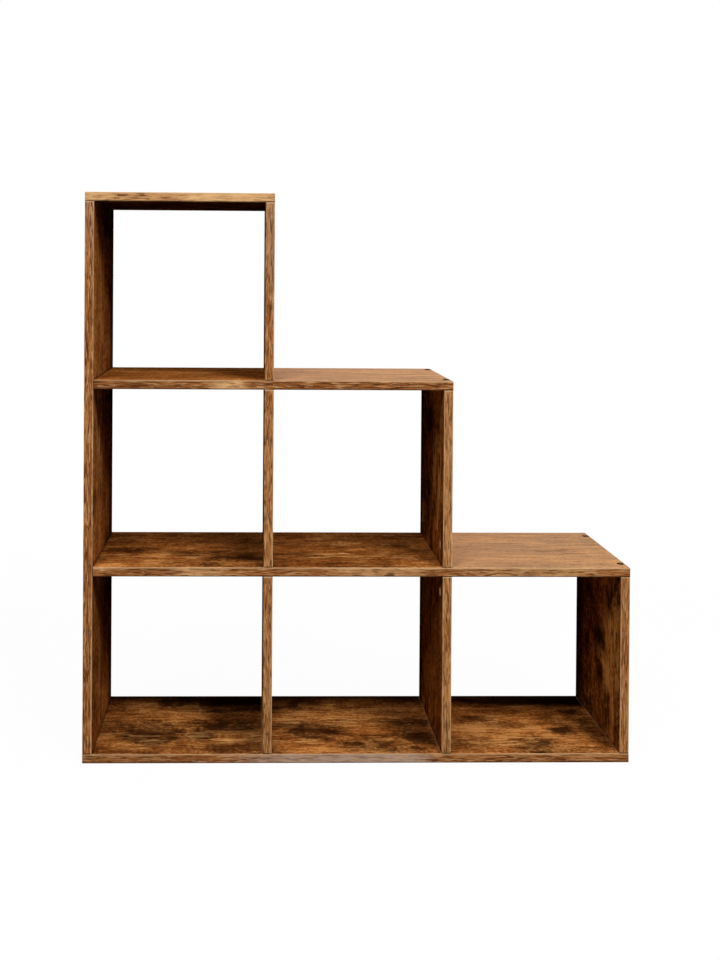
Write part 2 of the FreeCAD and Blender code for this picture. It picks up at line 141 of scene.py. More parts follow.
# Layers of the prints, and the speckle of the fittings: counts per metre along the grain, across it and
# through the board, then the detail, the roughness and for some the distortion of the noise.
LAYERS = {
    "drift": ((4.0, 7.0, 7.0), 3.0, 0.55),
    "mottle": ((24.0, 32.0, 32.0), 4.0, 0.58, 0.5),
    "speckle": ((150.0, 170.0, 170.0), 2.0, 0.5),
    "streak": ((16.0, 95.0, 95.0), 5.0, 0.66),
    "long_streak": ((5.0, 105.0, 105.0), 5.0, 0.66),
    "cloud": ((9.0, 12.0, 12.0), 4.0, 0.55, 0.8),
    "split": ((26.0, 180.0, 180.0), 3.0, 0.6),
    "long_split": ((6.5, 125.0, 125.0), 3.0, 0.6),
    "glint": ((18.0, 150.0, 150.0), 3.0, 0.6),
    "glint_zone": ((9.0, 13.0, 13.0), 2.0, 0.5),
    "band_drift": ((5.0, 40.0, 40.0), 3.0, 0.55),
    "band_stripe": ((32.0, 370.0, 370.0), 4.0, 0.62),
    "band_thread": ((42.0, 500.0, 500.0), 2.0, 0.5),
    "band_pale_thread": ((38.0, 480.0, 480.0), 2.0, 0.5),
    "band_fleck": ((90.0, 560.0, 560.0), 3.0, 0.55),
    "fitting_speckle": ((900.0, 900.0, 900.0), 3.0, 0.6),
}
NOISE_RANGE = (0.3, 0.7)
NOISE_MIDDLE = (0.5, 0.5, 0.5)

# Bends: counts per metre, detail and reach of the noise that moves a place to and fro.
BEND_ROUGHNESS = 0.55
GRAIN_BEND = ((5.0, 8.0, 8.0), 2.0, (0.0, 0.024, 0.0))
PATCH_BENDS = (
    ((13.0, 17.0, 17.0), 2.0, 0.05),
    ((60.0, 90.0, 90.0), 3.0, 0.03),
)

# A step to another part of the noise, and the stretch that parts the prints of a board's two faces.
ELSEWHERE = (3.7, 1.9, 2.3)
FACE_STEP = 7.0

# How the print runs on the two kinds of board: the axes with the grain first, the stretch of the print, the
# axes along which the edges of its patches bend, and how much calmer it is outside.
SHELF_RUN = {
    "order": "xyz",
    "stretch_shares": (1.0, 1.0, 1.0),
    "bend_shares": (1.0, 1.0, 0.0),
    "outside_calm_share": 0.0,
}
UPRIGHT_RUN = {
    "order": "zyx",
    "stretch_shares": (0.9, 0.68, 1.0),
    "bend_shares": (0.0, 1.0, 1.0),
    "outside_calm_share": 0.65,
}

# Rustic print of the boards. An edge is the (start, end) of a fade, and levels are (start, end, low, high).
RUSTIC_SHARES = (0.25, 0.28, 0.25, 0.22)
PLAIN_SHARES = (0.13, 0.07, 0.17, 0.38, 0.155)
LIFT_LEVELS = (0.1, 0.9, 0.07, 0.21)
WOOD_STOPS = (
    (0.22, srgb(86, 41, 13)),
    (0.40, srgb(143, 81, 32)),
    (0.58, srgb(187, 112, 51)),
    (0.78, srgb(232, 158, 86)),
)
CLOUD_EDGE = (0.52, 0.66)
CLOUD_SHARE = 0.75
RAGGED_SHARES = (-0.15, -0.55, -0.38, 1.48)
SMOKE_SHARE = 0.8
SMOKE_BROWN = srgb(64, 30, 11)
CORE_EDGE = (0.7, 1.1)
CORE_MOTTLE_EDGE = (0.8, 0.3)
CORE_SHARE = 0.52
CORE_BROWN = srgb(28, 13, 5)
SPLIT_EDGE = (0.58, 0.67)
LONG_SPLIT_EDGE = (0.54, 0.64)
LONG_SPLIT_LEVELS = (0.4, 0.6, 0.3, 1.3)
SPLIT_SHARE = 0.6
SPLIT_BROWN = srgb(56, 25, 9)
GLINT_ZONE_EDGE = (0.48, 0.62)
GLINT_SHARE = 0.6
GLINT_EDGE = (0.59, 0.66)
GLINT_SMOKE_LEVELS = (0.1, 0.9, 0.9, 0.25)
CRACK_EDGE = (0.55, 0.6)
CRACK_SMOKE_LEVELS = (0.1, 0.9, 1.0, 0.36)
BARE_WOOD = srgb(244, 184, 112)
LAMINATE_ROUGHNESS = (0.42, 0.54)
SMOKE_ROUGHNESS = 0.08
LAMINATE_RELIEF_SHARES = (0.4, 0.2, -0.6)
LAMINATE_BUMP = (0.6 * MM, 0.35)

# Faces outside the cells, where the shelves carry a painted sheen, and the left faces of the uprights,
# which carry painted shade.
OUTSIDE_PAINTED_SHEEN = srgb(188, 158, 114)
OUTSIDE_PAINTED_SHEEN_SHARE = 0.42
OUTSIDE_BROWN = srgb(108, 68, 40)
OUTSIDE_BROWN_SHARE = 0.35
OUTSIDE_COAT_SHARE = 0.28
COAT_ROUGHNESS = 0.4
LEFT_FACING = -0.5
LEFT_FACE_SHADE_TINT = (0.99, 0.96, 0.79, 1.0)

# Lines along the edges of boards: where each starts and where it is full, from the edge, and its strength.
# The rear lines are painted shade.
SHELF_FOOT = (4.0 * MM, 0.0, 0.7)
SHELF_REAR_SHADE = (46.0 * MM, 3.0 * MM, 0.92)
SHELF_PALE = (3.0 * MM, 1.0 * MM, 0.3)
UPRIGHT_FOOT = (4.0 * MM, 0.0, 0.6)
UPRIGHT_REAR_SHADE = (66.0 * MM, 4.0 * MM, 0.8)
SHELF_FOOT_BROWN = srgb(36, 17, 7)
SHELF_REAR_SHADE_BROWN = srgb(16, 7, 2)
SHELF_PALE_LINE_TONE = srgb(206, 172, 140)
UPRIGHT_LINE_AND_SHADE_BROWN = srgb(34, 16, 6)

# The painted shade along the rear of the bottom panel broadens over these stretches of x.
REAR_SHADE_BROADER = 34.0 * MM
BROADER_RIGHT = (0.15, 0.30)
BROADER_LEFT = (-0.34, -0.22)

# Striped print of the edge bands.
BAND_TONE_SHARES = (0.18, 0.56, 0.135)
BAND_STOPS = (
    (0.12, srgb(116, 62, 28)),
    (0.38, srgb(154, 92, 45)),
    (0.62, srgb(182, 115, 61)),
    (0.88, srgb(212, 151, 94)),
)
WASH_LEVELS = (0.1, 0.8, 0.6, 1.1)
PALE_THREAD_EDGE = (0.55, 0.61)
PALE_THREAD_SHARE = 0.6
PALE_THREAD = srgb(232, 180, 126)
THREAD_EDGE = (0.55, 0.6)
FLECK_EDGE = (0.62, 0.7)
FLECK_WASH_LEVELS = (0.4, 1.1, 0.75, 0.35)
FLECK_BROWN = srgb(74, 36, 16)
HIGHLIGHT_LEVELS = (0.1, 0.8, 0.5, 1.0)
PAINTED_EDGE_HIGHLIGHT = srgb(232, 190, 142)
SEAM_BROWN = srgb(40, 20, 10)
BAND_ROUGHNESS = (0.4, 0.55)
BAND_RELIEF_SHARES = (0.5, -0.5)
BAND_BUMP = (0.4 * MM, 0.3)
BAND_SPECULAR = 0.04
END_FACING = 0.7
SHELF_BAND_STRETCH_SHARES = (0.95, 1.0, 1.0)
SHELF_PALE_AND_HIGHLIGHT = srgb(250, 198, 136)
BOTTOM_PAINTED_REFLECTION = srgb(204, 170, 146)
UPRIGHT_WASH = srgb(212, 154, 96)
UPPER_WASH = srgb(196, 152, 114)

# Lines along the edges of bands, as those of the boards: painted highlights along edges and heads, and dark
# seams.
TOP_EDGE_HIGHLIGHT = (2.8 * MM, 1.4 * MM, 0.8)
BOTTOM_HIGHLIGHT_SHARE = 0.625
LOW_SEAM = (2.4 * MM, 1.0 * MM, 0.75)
LEFT_SEAM = (2.4 * MM, 0.8 * MM, 0.8)
RIGHT_EDGE_HIGHLIGHT = (2.6 * MM, 0.8 * MM, 0.65)
LEFT_EDGE_HIGHLIGHT = (1.8 * MM, 0.6 * MM, 0.6)
HEAD_HIGHLIGHT = (2.8 * MM, 1.2 * MM, 0.9)
FOOT_SEAM = (2.4 * MM, 0.8 * MM, 0.75)

# Patches: the edge of one in shares of its half sizes, how far a ragged one spreads, and how deep into a
# board or past a band it reaches.
PATCH_EDGE_SHARES = (1.6, 0.4)
MARK_SPREAD_SHARE = 1.3
MARK_DEPTH = 9.0 * MM
CALM_DEPTH = 12.0 * MM
BAND_DEPTH = 40.0 * MM
UPRIGHT_BAND_DEPTH = 20.0 * MM

# Fittings. The front cam locks are pale partly as a painted glint, the rear ones dark with painted shade,
# and the cap crowns carry a painted sheen.
ROUGHNESS_SPREAD = 0.15
STEEL = srgb(150, 148, 142)
BEECH = srgb(205, 170, 125)
ZINC_DULL = srgb(208, 170, 130)
ZINC_BRIGHT = srgb(242, 208, 170)
ZINC_PAINTED_SHADE = srgb(52, 32, 18)
ZINC_TINT = srgb(220, 180, 140)
CAP_RIM = srgb(17, 9, 5)
CAP_CROWN_SHEEN = srgb(116, 86, 62)
CROWN_EDGE = (0.96, 0.995)
CROWN_SHEEN_SHARE = 0.75

# Screw caps: (share of the radius, share of the height) down the outside from the middle.
CAP_PROFILE_SHARES = (
    (0.0, 1.0),
    (0.3, 0.97),
    (0.55, 0.88),
    (0.60, 0.80),
    (0.65, 0.81),
    (0.82, 0.62),
    (0.94, 0.42),
    (1.0, 0.26),
    (1.0, 0.0),
)
CAP_STEPS = 40
CAP_WELD = 0.01 * MM
CAP_LEAN = math.radians(-90.0)
CAP_NODES = {
    "lower_shelf_screw_caps": "z",
    "middle_shelf_screw_caps": "z",
    "top_panel_screw_caps": "z",
    "left_side_panel_screw_caps": "-x",
}
SPOT_DIGITS = 5

# Sockets of the Mix node, which has a set for each kind of value.
MIX_SHARE = 0
MIX_FIRST_VECTOR = 4
MIX_SECOND_VECTOR = 5
MIX_FIRST_COLOUR = 6
MIX_SECOND_COLOUR = 7
MIX_VECTOR_OUT = 1
MIX_COLOUR_OUT = 2


def fill_inputs(tree, node, inputs):
    """Joins sockets to a node's inputs, and sets plain values on the others."""
    for key, value in inputs.items():
        if isinstance(value, bpy.types.NodeSocket):
            tree.links.new(value, node.inputs[key])
        else:
            node.inputs[key].default_value = value


def put(tree, kind, settings, inputs):
    """Adds a node to a tree, with its properties and inputs."""
    node = tree.nodes.new("ShaderNode" + kind)
    for name, value in settings.items():
        setattr(node, name, value)
    fill_inputs(tree, node, inputs)
    return node


def calc(tree, operation, *values):
    """One step of arithmetic on values."""
    return put(tree, "Math", {"operation": operation}, dict(enumerate(values))).outputs[0]


def total(tree, *weighted):
    """The sum of (value, weight) pairs."""
    result = None
    for value, weight in weighted:
        part = calc(tree, "MULTIPLY", value, weight)
        result = part if result is None else calc(tree, "ADD", result, part)
    return result


def both(tree, *masks):
    """The product of masks."""
    result = masks[0]
    for one in masks[1:]:
        result = calc(tree, "MULTIPLY", result, one)
    return result


def either(tree, *masks):
    """The strongest of masks."""
    result = masks[0]
    for one in masks[1:]:
        result = calc(tree, "MAXIMUM", result, one)
    return result


def without(tree, mask):
    """The rest of a mask."""
    return calc(tree, "SUBTRACT", 1.0, mask)


def above(tree, value, edge):
    """1 where a value is over an edge."""
    return calc(tree, "GREATER_THAN", value, edge)


def below(tree, value, edge):
    """1 where a value is under an edge."""
    return calc(tree, "LESS_THAN", value, edge)


def move(tree, operation, *values):
    """One step of arithmetic on vectors."""
    return put(tree, "VectorMath", {"operation": operation}, dict(enumerate(values))).outputs[0]


def length(tree, vector):
    """The length of a vector."""
    return put(tree, "VectorMath", {"operation": "LENGTH"}, {0: vector}).outputs["Value"]


def noise(tree, place, counts, detail, roughness, distortion=0.0):
    """Fractal noise with its own count per metre along each axis."""
    inputs = {
        "Vector": move(tree, "MULTIPLY", place, counts),
        "Scale": 1.0,
        "Detail": detail,
        "Roughness": roughness,
        "Distortion": distortion,
    }
    return put(tree, "TexNoise", {}, inputs).outputs


def remap(tree, value, start, end, low=0.0, high=1.0):
    """Eases a value from low at start to high at end."""
    ends = {"Value": value, "From Min": start, "From Max": end, "To Min": low, "To Max": high}
    return put(tree, "MapRange", {"interpolation_type": "SMOOTHSTEP"}, ends).outputs[0]


def eased(tree, share, low, high):
    """Eases from low to high as a share goes from 0 to 1."""
    return remap(tree, share, 0.0, 1.0, low, high)


def layer(tree, place, name):
    """One layer of a print."""
    return noise(tree, place, *LAYERS[name])["Fac"]


def spread_layer(tree, place, name):
    """One layer of a print, stretched over 0 to 1, because fractal noise keeps near its middle."""
    return remap(tree, layer(tree, place, name), *NOISE_RANGE)


def bend(tree, place, counts, detail, reach):
    """How far fractal noise moves a place, to and fro along each axis."""
    levels = noise(tree, place, counts, detail, BEND_ROUGHNESS)["Color"]
    return move(tree, "MULTIPLY", move(tree, "SUBTRACT", levels, NOISE_MIDDLE), reach)


def mix(tree, share, first, second, blend="MIX"):
    """Mixes two colours."""
    inputs = {MIX_SHARE: share, MIX_FIRST_COLOUR: first, MIX_SECOND_COLOUR: second}
    settings = {"data_type": "RGBA", "blend_type": blend}
    return put(tree, "Mix", settings, inputs).outputs[MIX_COLOUR_OUT]


def ramp(tree, value, stops):
    """Turns a value into a colour along a row of (share, colour) stops."""
    node = put(tree, "ValToRGB", {}, {"Fac": value})
    elements = node.color_ramp.elements
    for share, _ in stops[1:-1]:
        elements.new(share)
    for element, (share, colour) in zip(elements, stops):
        element.position = share
        element.color = colour
    return node.outputs["Color"]


def group_tree(name, inputs, outputs):
    """Starts a shader node group with named sockets."""
    tree = bpy.data.node_groups.new(name, "ShaderNodeTree")
    for way, sockets in (("INPUT", inputs), ("OUTPUT", outputs)):
        for label, kind in sockets.items():
            tree.interface.new_socket(label, in_out=way, socket_type="NodeSocket" + kind)
    entry = tree.nodes.new("NodeGroupInput")
    return tree, entry.outputs, tree.nodes.new("NodeGroupOutput")


def use_group(tree, group, inputs):
    """Places a node group in a tree."""
    node = tree.nodes.new("ShaderNodeGroup")
    node.node_tree = group
    fill_inputs(tree, node, inputs)
    return node.outputs


def material_tree(name):
    """Starts a material: its node tree and its Principled shader."""
    material = bpy.data.materials.new(name)
    material.use_nodes = True
    tree = material.node_tree
    return material, tree, tree.nodes["Principled BSDF"]


def finish_surface(tree, shader, colour, made, bump):
    """Joins a colour, and a print's roughness and relief, to a Principled shader."""
    distance, strength = bump
    relief = put(tree, "Bump", {}, {"Height": made["Height"], "Distance": distance, "Strength": strength})
    inputs = {"Base Color": colour, "Roughness": made["Roughness"], "Normal": relief.outputs["Normal"]}
    fill_inputs(tree, shader, inputs)


def object_place(tree):
    """Object coordinates: the place of a point in the frame."""
    return tree.nodes.new("ShaderNodeTexCoord").outputs["Object"]


def axes_of(tree, vector):
    """The x, y and z of a vector."""
    return put(tree, "SeparateXYZ", {}, {"Vector": vector}).outputs


def facing(tree):
    """The x, y and z of the way that the surface faces."""
    return axes_of(tree, tree.nodes.new("ShaderNodeNewGeometry").outputs["Normal"])


def grain_place(tree, axes, order, face_step=1.0):
    """The place with its axes in another order, the grain first and the last stretched by face_step."""
    along, across, through = (axes[AXES.index(letter)] for letter in order)
    joined = {0: along, 1: across, 2: calc(tree, "MULTIPLY", through, face_step)}
    return put(tree, "CombineXYZ", {}, joined).outputs[0]


def past_upright(tree, x):
    """How far right a point is of the left face of the upright before it."""
    return calc(tree, "FLOORED_MODULO", calc(tree, "SUBTRACT", x, side_low.x), UPRIGHT_PITCH)


def past_shelf(tree, z):
    """How far up a point is from the underside of the shelf below it."""
    return calc(tree, "FLOORED_MODULO", z, SHELF_PITCH)


def at_bottom(tree, z):
    """1 on the bottom panel and the lower half of what stands on it."""
    return below(tree, z, HALF_PITCH)


def line_over(tree, value, edge, line):
    """A (start, full, strength) line on the upper side of an edge."""
    start, full, strength = line
    return remap(tree, value, edge + start, edge + full, 0.0, strength)


def line_under(tree, value, edge, line):
    """A (start, full, strength) line on the lower side of an edge."""
    start, full, strength = line
    return remap(tree, value, edge - start, edge - full, 0.0, strength)


def patch_group():
    """Mask of one patch: full at its middle, none past its edge."""
    inputs = {"Place": "Vector", "Centre": "Vector", "Half Sizes": "Vector", "Strength": "Float"}
    tree, entry, leave = group_tree("patch", inputs, {"Mask": "Float"})
    away = move(tree, "SUBTRACT", entry["Place"], entry["Centre"])
    reach = length(tree, move(tree, "DIVIDE", away, entry["Half Sizes"]))
    shape = remap(tree, reach, *PATCH_EDGE_SHARES)
    fill_inputs(tree, leave, {"Mask": both(tree, shape, entry["Strength"])})
    return tree


def rustic_print_group():
    """The rustic print of the laminate, with the grain along the first axis.

    Calm parts have long streaks instead of the rustic mottle, and Lift makes the wood paler. Marks are
    smoky patches, some of them painted shade, with a dark core in the stronger ones, and Cracks are places
    where fine pale lines show.
    """
    inputs = {"Grain": "Vector", "Marks": "Float", "Calm": "Float", "Lift": "Float", "Cracks": "Float"}
    outputs = {"Color": "Color", "Roughness": "Float", "Height": "Float", "Splits": "Float"}
    tree, entry, leave = group_tree("rustic_print", inputs, outputs)
    grain, calm = entry["Grain"], entry["Calm"]
    rest = without(tree, calm)

    wavy = move(tree, "ADD", grain, bend(tree, grain, *GRAIN_BEND))
    elsewhere = move(tree, "ADD", wavy, ELSEWHERE)
    drift = spread_layer(tree, wavy, "drift")
    mottle = spread_layer(tree, wavy, "mottle")
    speckle = spread_layer(tree, wavy, "speckle")
    streak = spread_layer(tree, wavy, "streak")
    long_streak = spread_layer(tree, wavy, "long_streak")
    cloud = layer(tree, wavy, "cloud")
    split = layer(tree, wavy, "split")
    long_split = layer(tree, wavy, "long_split")
    glint = layer(tree, elsewhere, "glint")
    glint_zone = layer(tree, elsewhere, "glint_zone")

    rustic = total(tree, *zip((drift, mottle, speckle, streak), RUSTIC_SHARES))
    plain = total(tree, *zip((drift, mottle, speckle, long_streak, 1.0), PLAIN_SHARES))
    lit = both(tree, entry["Lift"], remap(tree, streak, *LIFT_LEVELS))
    wood = ramp(tree, total(tree, (rustic, rest), (plain, calm), (lit, 1.0)), WOOD_STOPS)

    clouds = both(tree, remap(tree, cloud, *CLOUD_EDGE), rest, CLOUD_SHARE)
    body = either(tree, clouds, entry["Marks"])
    ragged = total(tree, *zip((streak, mottle, speckle, 1.0), RAGGED_SHARES))
    smoke = calc(tree, "MINIMUM", both(tree, body, ragged), 1.0)
    colour = mix(tree, both(tree, smoke, SMOKE_SHARE), wood, SMOKE_BROWN)
    core = both(tree, remap(tree, body, *CORE_EDGE), remap(tree, mottle, *CORE_MOTTLE_EDGE), CORE_SHARE)
    colour = mix(tree, core, colour, CORE_BROWN)

    grouped = remap(tree, cloud, *LONG_SPLIT_LEVELS)
    long_splits = both(tree, remap(tree, long_split, *LONG_SPLIT_EDGE), calm, grouped)
    splits = both(tree, either(tree, remap(tree, split, *SPLIT_EDGE), long_splits), SPLIT_SHARE)
    colour = mix(tree, splits, colour, SPLIT_BROWN)
    zones = both(tree, remap(tree, glint_zone, *GLINT_ZONE_EDGE), GLINT_SHARE)
    in_zones = both(tree, zones, remap(tree, smoke, *GLINT_SMOKE_LEVELS))
    in_cracks = both(tree, entry["Cracks"], remap(tree, smoke, *CRACK_SMOKE_LEVELS))
    glints = both(tree, remap(tree, glint, *GLINT_EDGE), in_zones)
    cracks = both(tree, remap(tree, glint, *CRACK_EDGE), in_cracks)
    colour = mix(tree, either(tree, glints, cracks), colour, BARE_WOOD)

    streak_roughness = eased(tree, streak, *LAMINATE_ROUGHNESS)
    fill_inputs(tree, leave, {
        "Color": colour,
        "Roughness": calc(tree, "ADD", streak_roughness, both(tree, smoke, SMOKE_ROUGHNESS)),
        "Height": total(tree, *zip((streak, speckle, splits), LAMINATE_RELIEF_SHARES)),
        "Splits": splits,
    })
    return tree


def patches_mask(tree, place, patch, rows):
    """The strongest of a row of (centre, half sizes, strength) patches."""
    masks = []
    for centre, halves, strength in rows:
        inputs = {"Place": place, "Centre": centre, "Half Sizes": halves, "Strength": strength}
        masks.append(use_group(tree, patch, inputs)["Mask"])
    return either(tree, *masks)


def outside_mask(tree, axes):
    """1 on the faces that nothing stands over: the steps, the top and the outer sides."""
    x, _, z = axes
    faces = [
        both(tree, above(tree, x, middle(panel, "x")), above(tree, z, middle(shelf, "z")))
        for panel, shelf in STEPS
    ]
    top = above(tree, z, middle("top_panel", "z"))
    left = below(tree, x, middle("left_side_panel", "x"))
    right = above(tree, x, middle("lower_end_panel", "x"))
    return either(tree, *faces, top, left, right)


def laminate(name, groups, patches, tint, run):
    """A laminate board finish: its print, with its patches, in the colour that tint gives it."""
    material, tree, shader = material_tree(name)
    place = object_place(tree)
    axes = axes_of(tree, place)
    faced = grain_place(tree, axes, run["order"], FACE_STEP)
    grain = move(tree, "MULTIPLY", faced, run["stretch_shares"])
    ragged_place = place
    for counts, detail, reach in PATCH_BENDS:
        reaches = tuple(reach * share for share in run["bend_shares"])
        ragged_place = move(tree, "ADD", ragged_place, bend(tree, grain, counts, detail, reaches))
    inputs = {"Grain": grain}
    for label, rows in patches.items():
        inputs[label] = patches_mask(tree, ragged_place, groups["patch"], rows)
    outside = outside_mask(tree, axes)
    inputs["Calm"] = either(tree, inputs["Calm"], both(tree, outside, run["outside_calm_share"]))
    made = use_group(tree, groups["print"], inputs)
    finish_surface(tree, shader, tint(tree, axes, outside, made), made, LAMINATE_BUMP)
    fill_inputs(tree, shader, {
        "Coat Weight": both(tree, outside, OUTSIDE_COAT_SHARE),
        "Coat Roughness": COAT_ROUGHNESS,
        "Specular IOR Level": 0.0,
    })
    return material


def shelf_colour(tree, axes, outside, made):
    """A shelf's print, paler outside with a painted sheen, with a dark line along the foot of each upright.

    The bottom panel also has a pale line before each upright, and a strip of painted shade along its rear
    edge, which is broader in the right cell and beside the left divider.
    """
    x, y, z = axes
    # Painted sheen: the faces that nothing stands over are paler.
    wash = both(tree, outside, without(tree, made["Splits"]), OUTSIDE_PAINTED_SHEEN_SHARE)
    colour = mix(tree, wash, made["Color"], OUTSIDE_PAINTED_SHEEN)
    along = past_upright(tree, x)
    lowest = at_bottom(tree, z)
    by_divider = below(tree, x, middle("lower_left_divider", "x"))
    beside = both(tree, remap(tree, x, *BROADER_LEFT), by_divider)
    broader = either(tree, remap(tree, x, *BROADER_RIGHT), beside)
    depth = total(tree, (broader, REAR_SHADE_BROADER), (y, 1.0))
    foot = line_over(tree, along, BOARD, SHELF_FOOT)
    # Painted shade along the rear edge of the bottom panel.
    rear = both(tree, line_under(tree, depth, REAR, SHELF_REAR_SHADE), lowest)
    pale = both(tree, line_under(tree, along, UPRIGHT_PITCH, SHELF_PALE), lowest)
    inside = without(tree, outside)
    for line, paint in ((foot, SHELF_FOOT_BROWN), (rear, SHELF_REAR_SHADE_BROWN), (pale, SHELF_PALE_LINE_TONE)):
        colour = mix(tree, both(tree, inside, line), colour, paint)
    return colour


def upright_colour(tree, axes, outside, made):
    """An upright's print, darker and warmer on left faces with painted shade, browner outside, dark along
    its foot, and with painted shade along its rear edge.
    """
    _, y, z = axes
    inside = without(tree, outside)
    # Painted shade: inner faces turned to the left are darker and warmer.
    shaded_left_face = both(tree, below(tree, facing(tree)[0], LEFT_FACING), inside)
    colour = mix(tree, shaded_left_face, made["Color"], LEFT_FACE_SHADE_TINT, "MULTIPLY")
    colour = mix(tree, both(tree, outside, OUTSIDE_BROWN_SHARE), colour, OUTSIDE_BROWN)
    foot = line_over(tree, past_shelf(tree, z), BOARD, UPRIGHT_FOOT)
    # Painted shade along the rear edge of the inner faces.
    rear = line_under(tree, y, REAR, UPRIGHT_REAR_SHADE)
    return mix(tree, both(tree, inside, either(tree, foot, rear)), colour, UPRIGHT_LINE_AND_SHADE_BROWN)


def band_print_group():
    """The finer, paler striped print of the edge bands, with the grain along the first axis."""
    inputs = {"Grain": "Vector", "Wash": "Float", "Wash Color": "Color", "Painted Highlight": "Float", "Seam": "Float"}
    outputs = {"Color": "Color", "Roughness": "Float", "Height": "Float"}
    tree, entry, leave = group_tree("band_print", inputs, outputs)
    grain = entry["Grain"]
    elsewhere = move(tree, "ADD", grain, ELSEWHERE)
    drift = spread_layer(tree, grain, "band_drift")
    stripe = spread_layer(tree, grain, "band_stripe")
    thread = layer(tree, grain, "band_thread")
    pale_thread = layer(tree, elsewhere, "band_pale_thread")
    fleck = layer(tree, elsewhere, "band_fleck")

    colour = ramp(tree, total(tree, *zip((drift, stripe, 1.0), BAND_TONE_SHARES)), BAND_STOPS)
    wash = both(tree, entry["Wash"], remap(tree, stripe, *WASH_LEVELS))
    colour = mix(tree, wash, colour, entry["Wash Color"])
    pale = both(tree, remap(tree, pale_thread, *PALE_THREAD_EDGE), PALE_THREAD_SHARE)
    colour = mix(tree, pale, colour, PALE_THREAD)
    flecks = either(tree, remap(tree, thread, *THREAD_EDGE), remap(tree, fleck, *FLECK_EDGE))
    shown = both(tree, flecks, remap(tree, entry["Wash"], *FLECK_WASH_LEVELS))
    colour = mix(tree, shown, colour, FLECK_BROWN)
    # Painted highlight along edges and heads, as where a rounded arris catches the light.
    edge_highlight = both(tree, entry["Painted Highlight"], remap(tree, drift, *HIGHLIGHT_LEVELS))
    colour = mix(tree, edge_highlight, colour, PAINTED_EDGE_HIGHLIGHT)
    fill_inputs(tree, leave, {
        "Color": mix(tree, entry["Seam"], colour, SEAM_BROWN),
        "Roughness": eased(tree, stripe, *BAND_ROUGHNESS),
        "Height": total(tree, *zip((stripe, flecks), BAND_RELIEF_SHARES)),
    })
    return tree


def finish_band(tree, shader, groups, inputs):
    """Joins the band print to a Principled shader."""
    made = use_group(tree, groups["band"], inputs)
    finish_surface(tree, shader, made["Color"], made, BAND_BUMP)
    shader.inputs["Specular IOR Level"].default_value = BAND_SPECULAR


def shelf_band(groups):
    """Edge bands of the shelves: a painted highlight along the top edge, with dark seams below and at the
    left side panel.

    The bottom panel's highlight is weaker, and its pale stretch is a painted reflection of the floor; the
    top panel's are painted highlights.
    """
    material, tree, shader = material_tree("shelf_band")
    place = object_place(tree)
    axes = axes_of(tree, place)
    x, _, z = axes
    ways = {
        MIX_SHARE: above(tree, calc(tree, "ABSOLUTE", facing(tree)[0]), END_FACING),
        MIX_FIRST_VECTOR: grain_place(tree, axes, "xyz"),
        MIX_SECOND_VECTOR: grain_place(tree, axes, "yzx"),
    }
    grain = put(tree, "Mix", {"data_type": "VECTOR"}, ways).outputs[MIX_VECTOR_OUT]
    up = past_shelf(tree, z)
    lowest = at_bottom(tree, z)
    between = both(tree, without(tree, lowest), below(tree, z, side_high.z - HALF_BOARD))
    left_seam = both(tree, between, line_over(tree, x, LEFT_INNER, LEFT_SEAM))
    shade = patches_mask(tree, place, groups["patch"], SHELF_BAND_SHADES)
    # Painted highlight along the top edge, weaker on the bottom panel.
    highlight_share = eased(tree, lowest, 1.0, BOTTOM_HIGHLIGHT_SHARE)
    finish_band(tree, shader, groups, {
        "Grain": move(tree, "MULTIPLY", grain, SHELF_BAND_STRETCH_SHARES),
        "Wash": patches_mask(tree, place, groups["patch"], SHELF_BAND_PALE_AND_HIGHLIGHTS),
        # The bottom panel's pale stretch is a painted reflection of the floor, the top panel's a painted
        # highlight.
        "Wash Color": mix(tree, lowest, SHELF_PALE_AND_HIGHLIGHT, BOTTOM_PAINTED_REFLECTION),
        "Painted Highlight": both(tree, line_under(tree, up, BOARD, TOP_EDGE_HIGHLIGHT), highlight_share),
        "Seam": either(tree, line_over(tree, up, 0.0, LOW_SEAM), left_seam, shade),
    })
    return material


def upright_band(name, groups, jointed):
    """Edge bands of the uprights: painted highlights along the edges and at each head, with a dark seam at
    each foot.

    A jointed one stands between two shelves, and the left side panel's passes them.
    """
    material, tree, shader = material_tree(name)
    place = object_place(tree)
    axes = axes_of(tree, place)
    x, _, z = axes
    across = past_upright(tree, x)
    up = past_shelf(tree, z)
    # Painted highlights along the edges and at each head.
    right_highlight = line_under(tree, across, BOARD, RIGHT_EDGE_HIGHLIGHT)
    left_highlight = both(tree, line_over(tree, across, 0.0, LEFT_EDGE_HIGHLIGHT), above(tree, x, 0.0))
    head = line_under(tree, up, SHELF_PITCH, HEAD_HIGHLIGHT)
    foot = line_over(tree, up, BOARD, FOOT_SEAM)
    if not jointed:
        head = both(tree, head, above(tree, z, side_high.z - HALF_PITCH))
        foot = both(tree, foot, at_bottom(tree, z))
    finish_band(tree, shader, groups, {
        "Grain": grain_place(tree, axes, "zyx"),
        "Wash": patches_mask(tree, place, groups["patch"], UPRIGHT_BAND_WASHES),
        "Wash Color": mix(tree, above(tree, z, 2 * SHELF_PITCH), UPRIGHT_WASH, UPPER_WASH),
        "Painted Highlight": either(tree, right_highlight, left_highlight, head),
        "Seam": foot,
    })
    return material


def finish_fitting(tree, shader, colour, speckle, roughness, metallic, specular):
    """Joins a fitting's colour to its Principled shader, with a roughness that follows its speckle."""
    fill_inputs(tree, shader, {
        "Base Color": colour,
        "Roughness": eased(tree, speckle, roughness, roughness + ROUGHNESS_SPREAD),
        "Metallic": metallic,
        "Specular IOR Level": specular,
    })


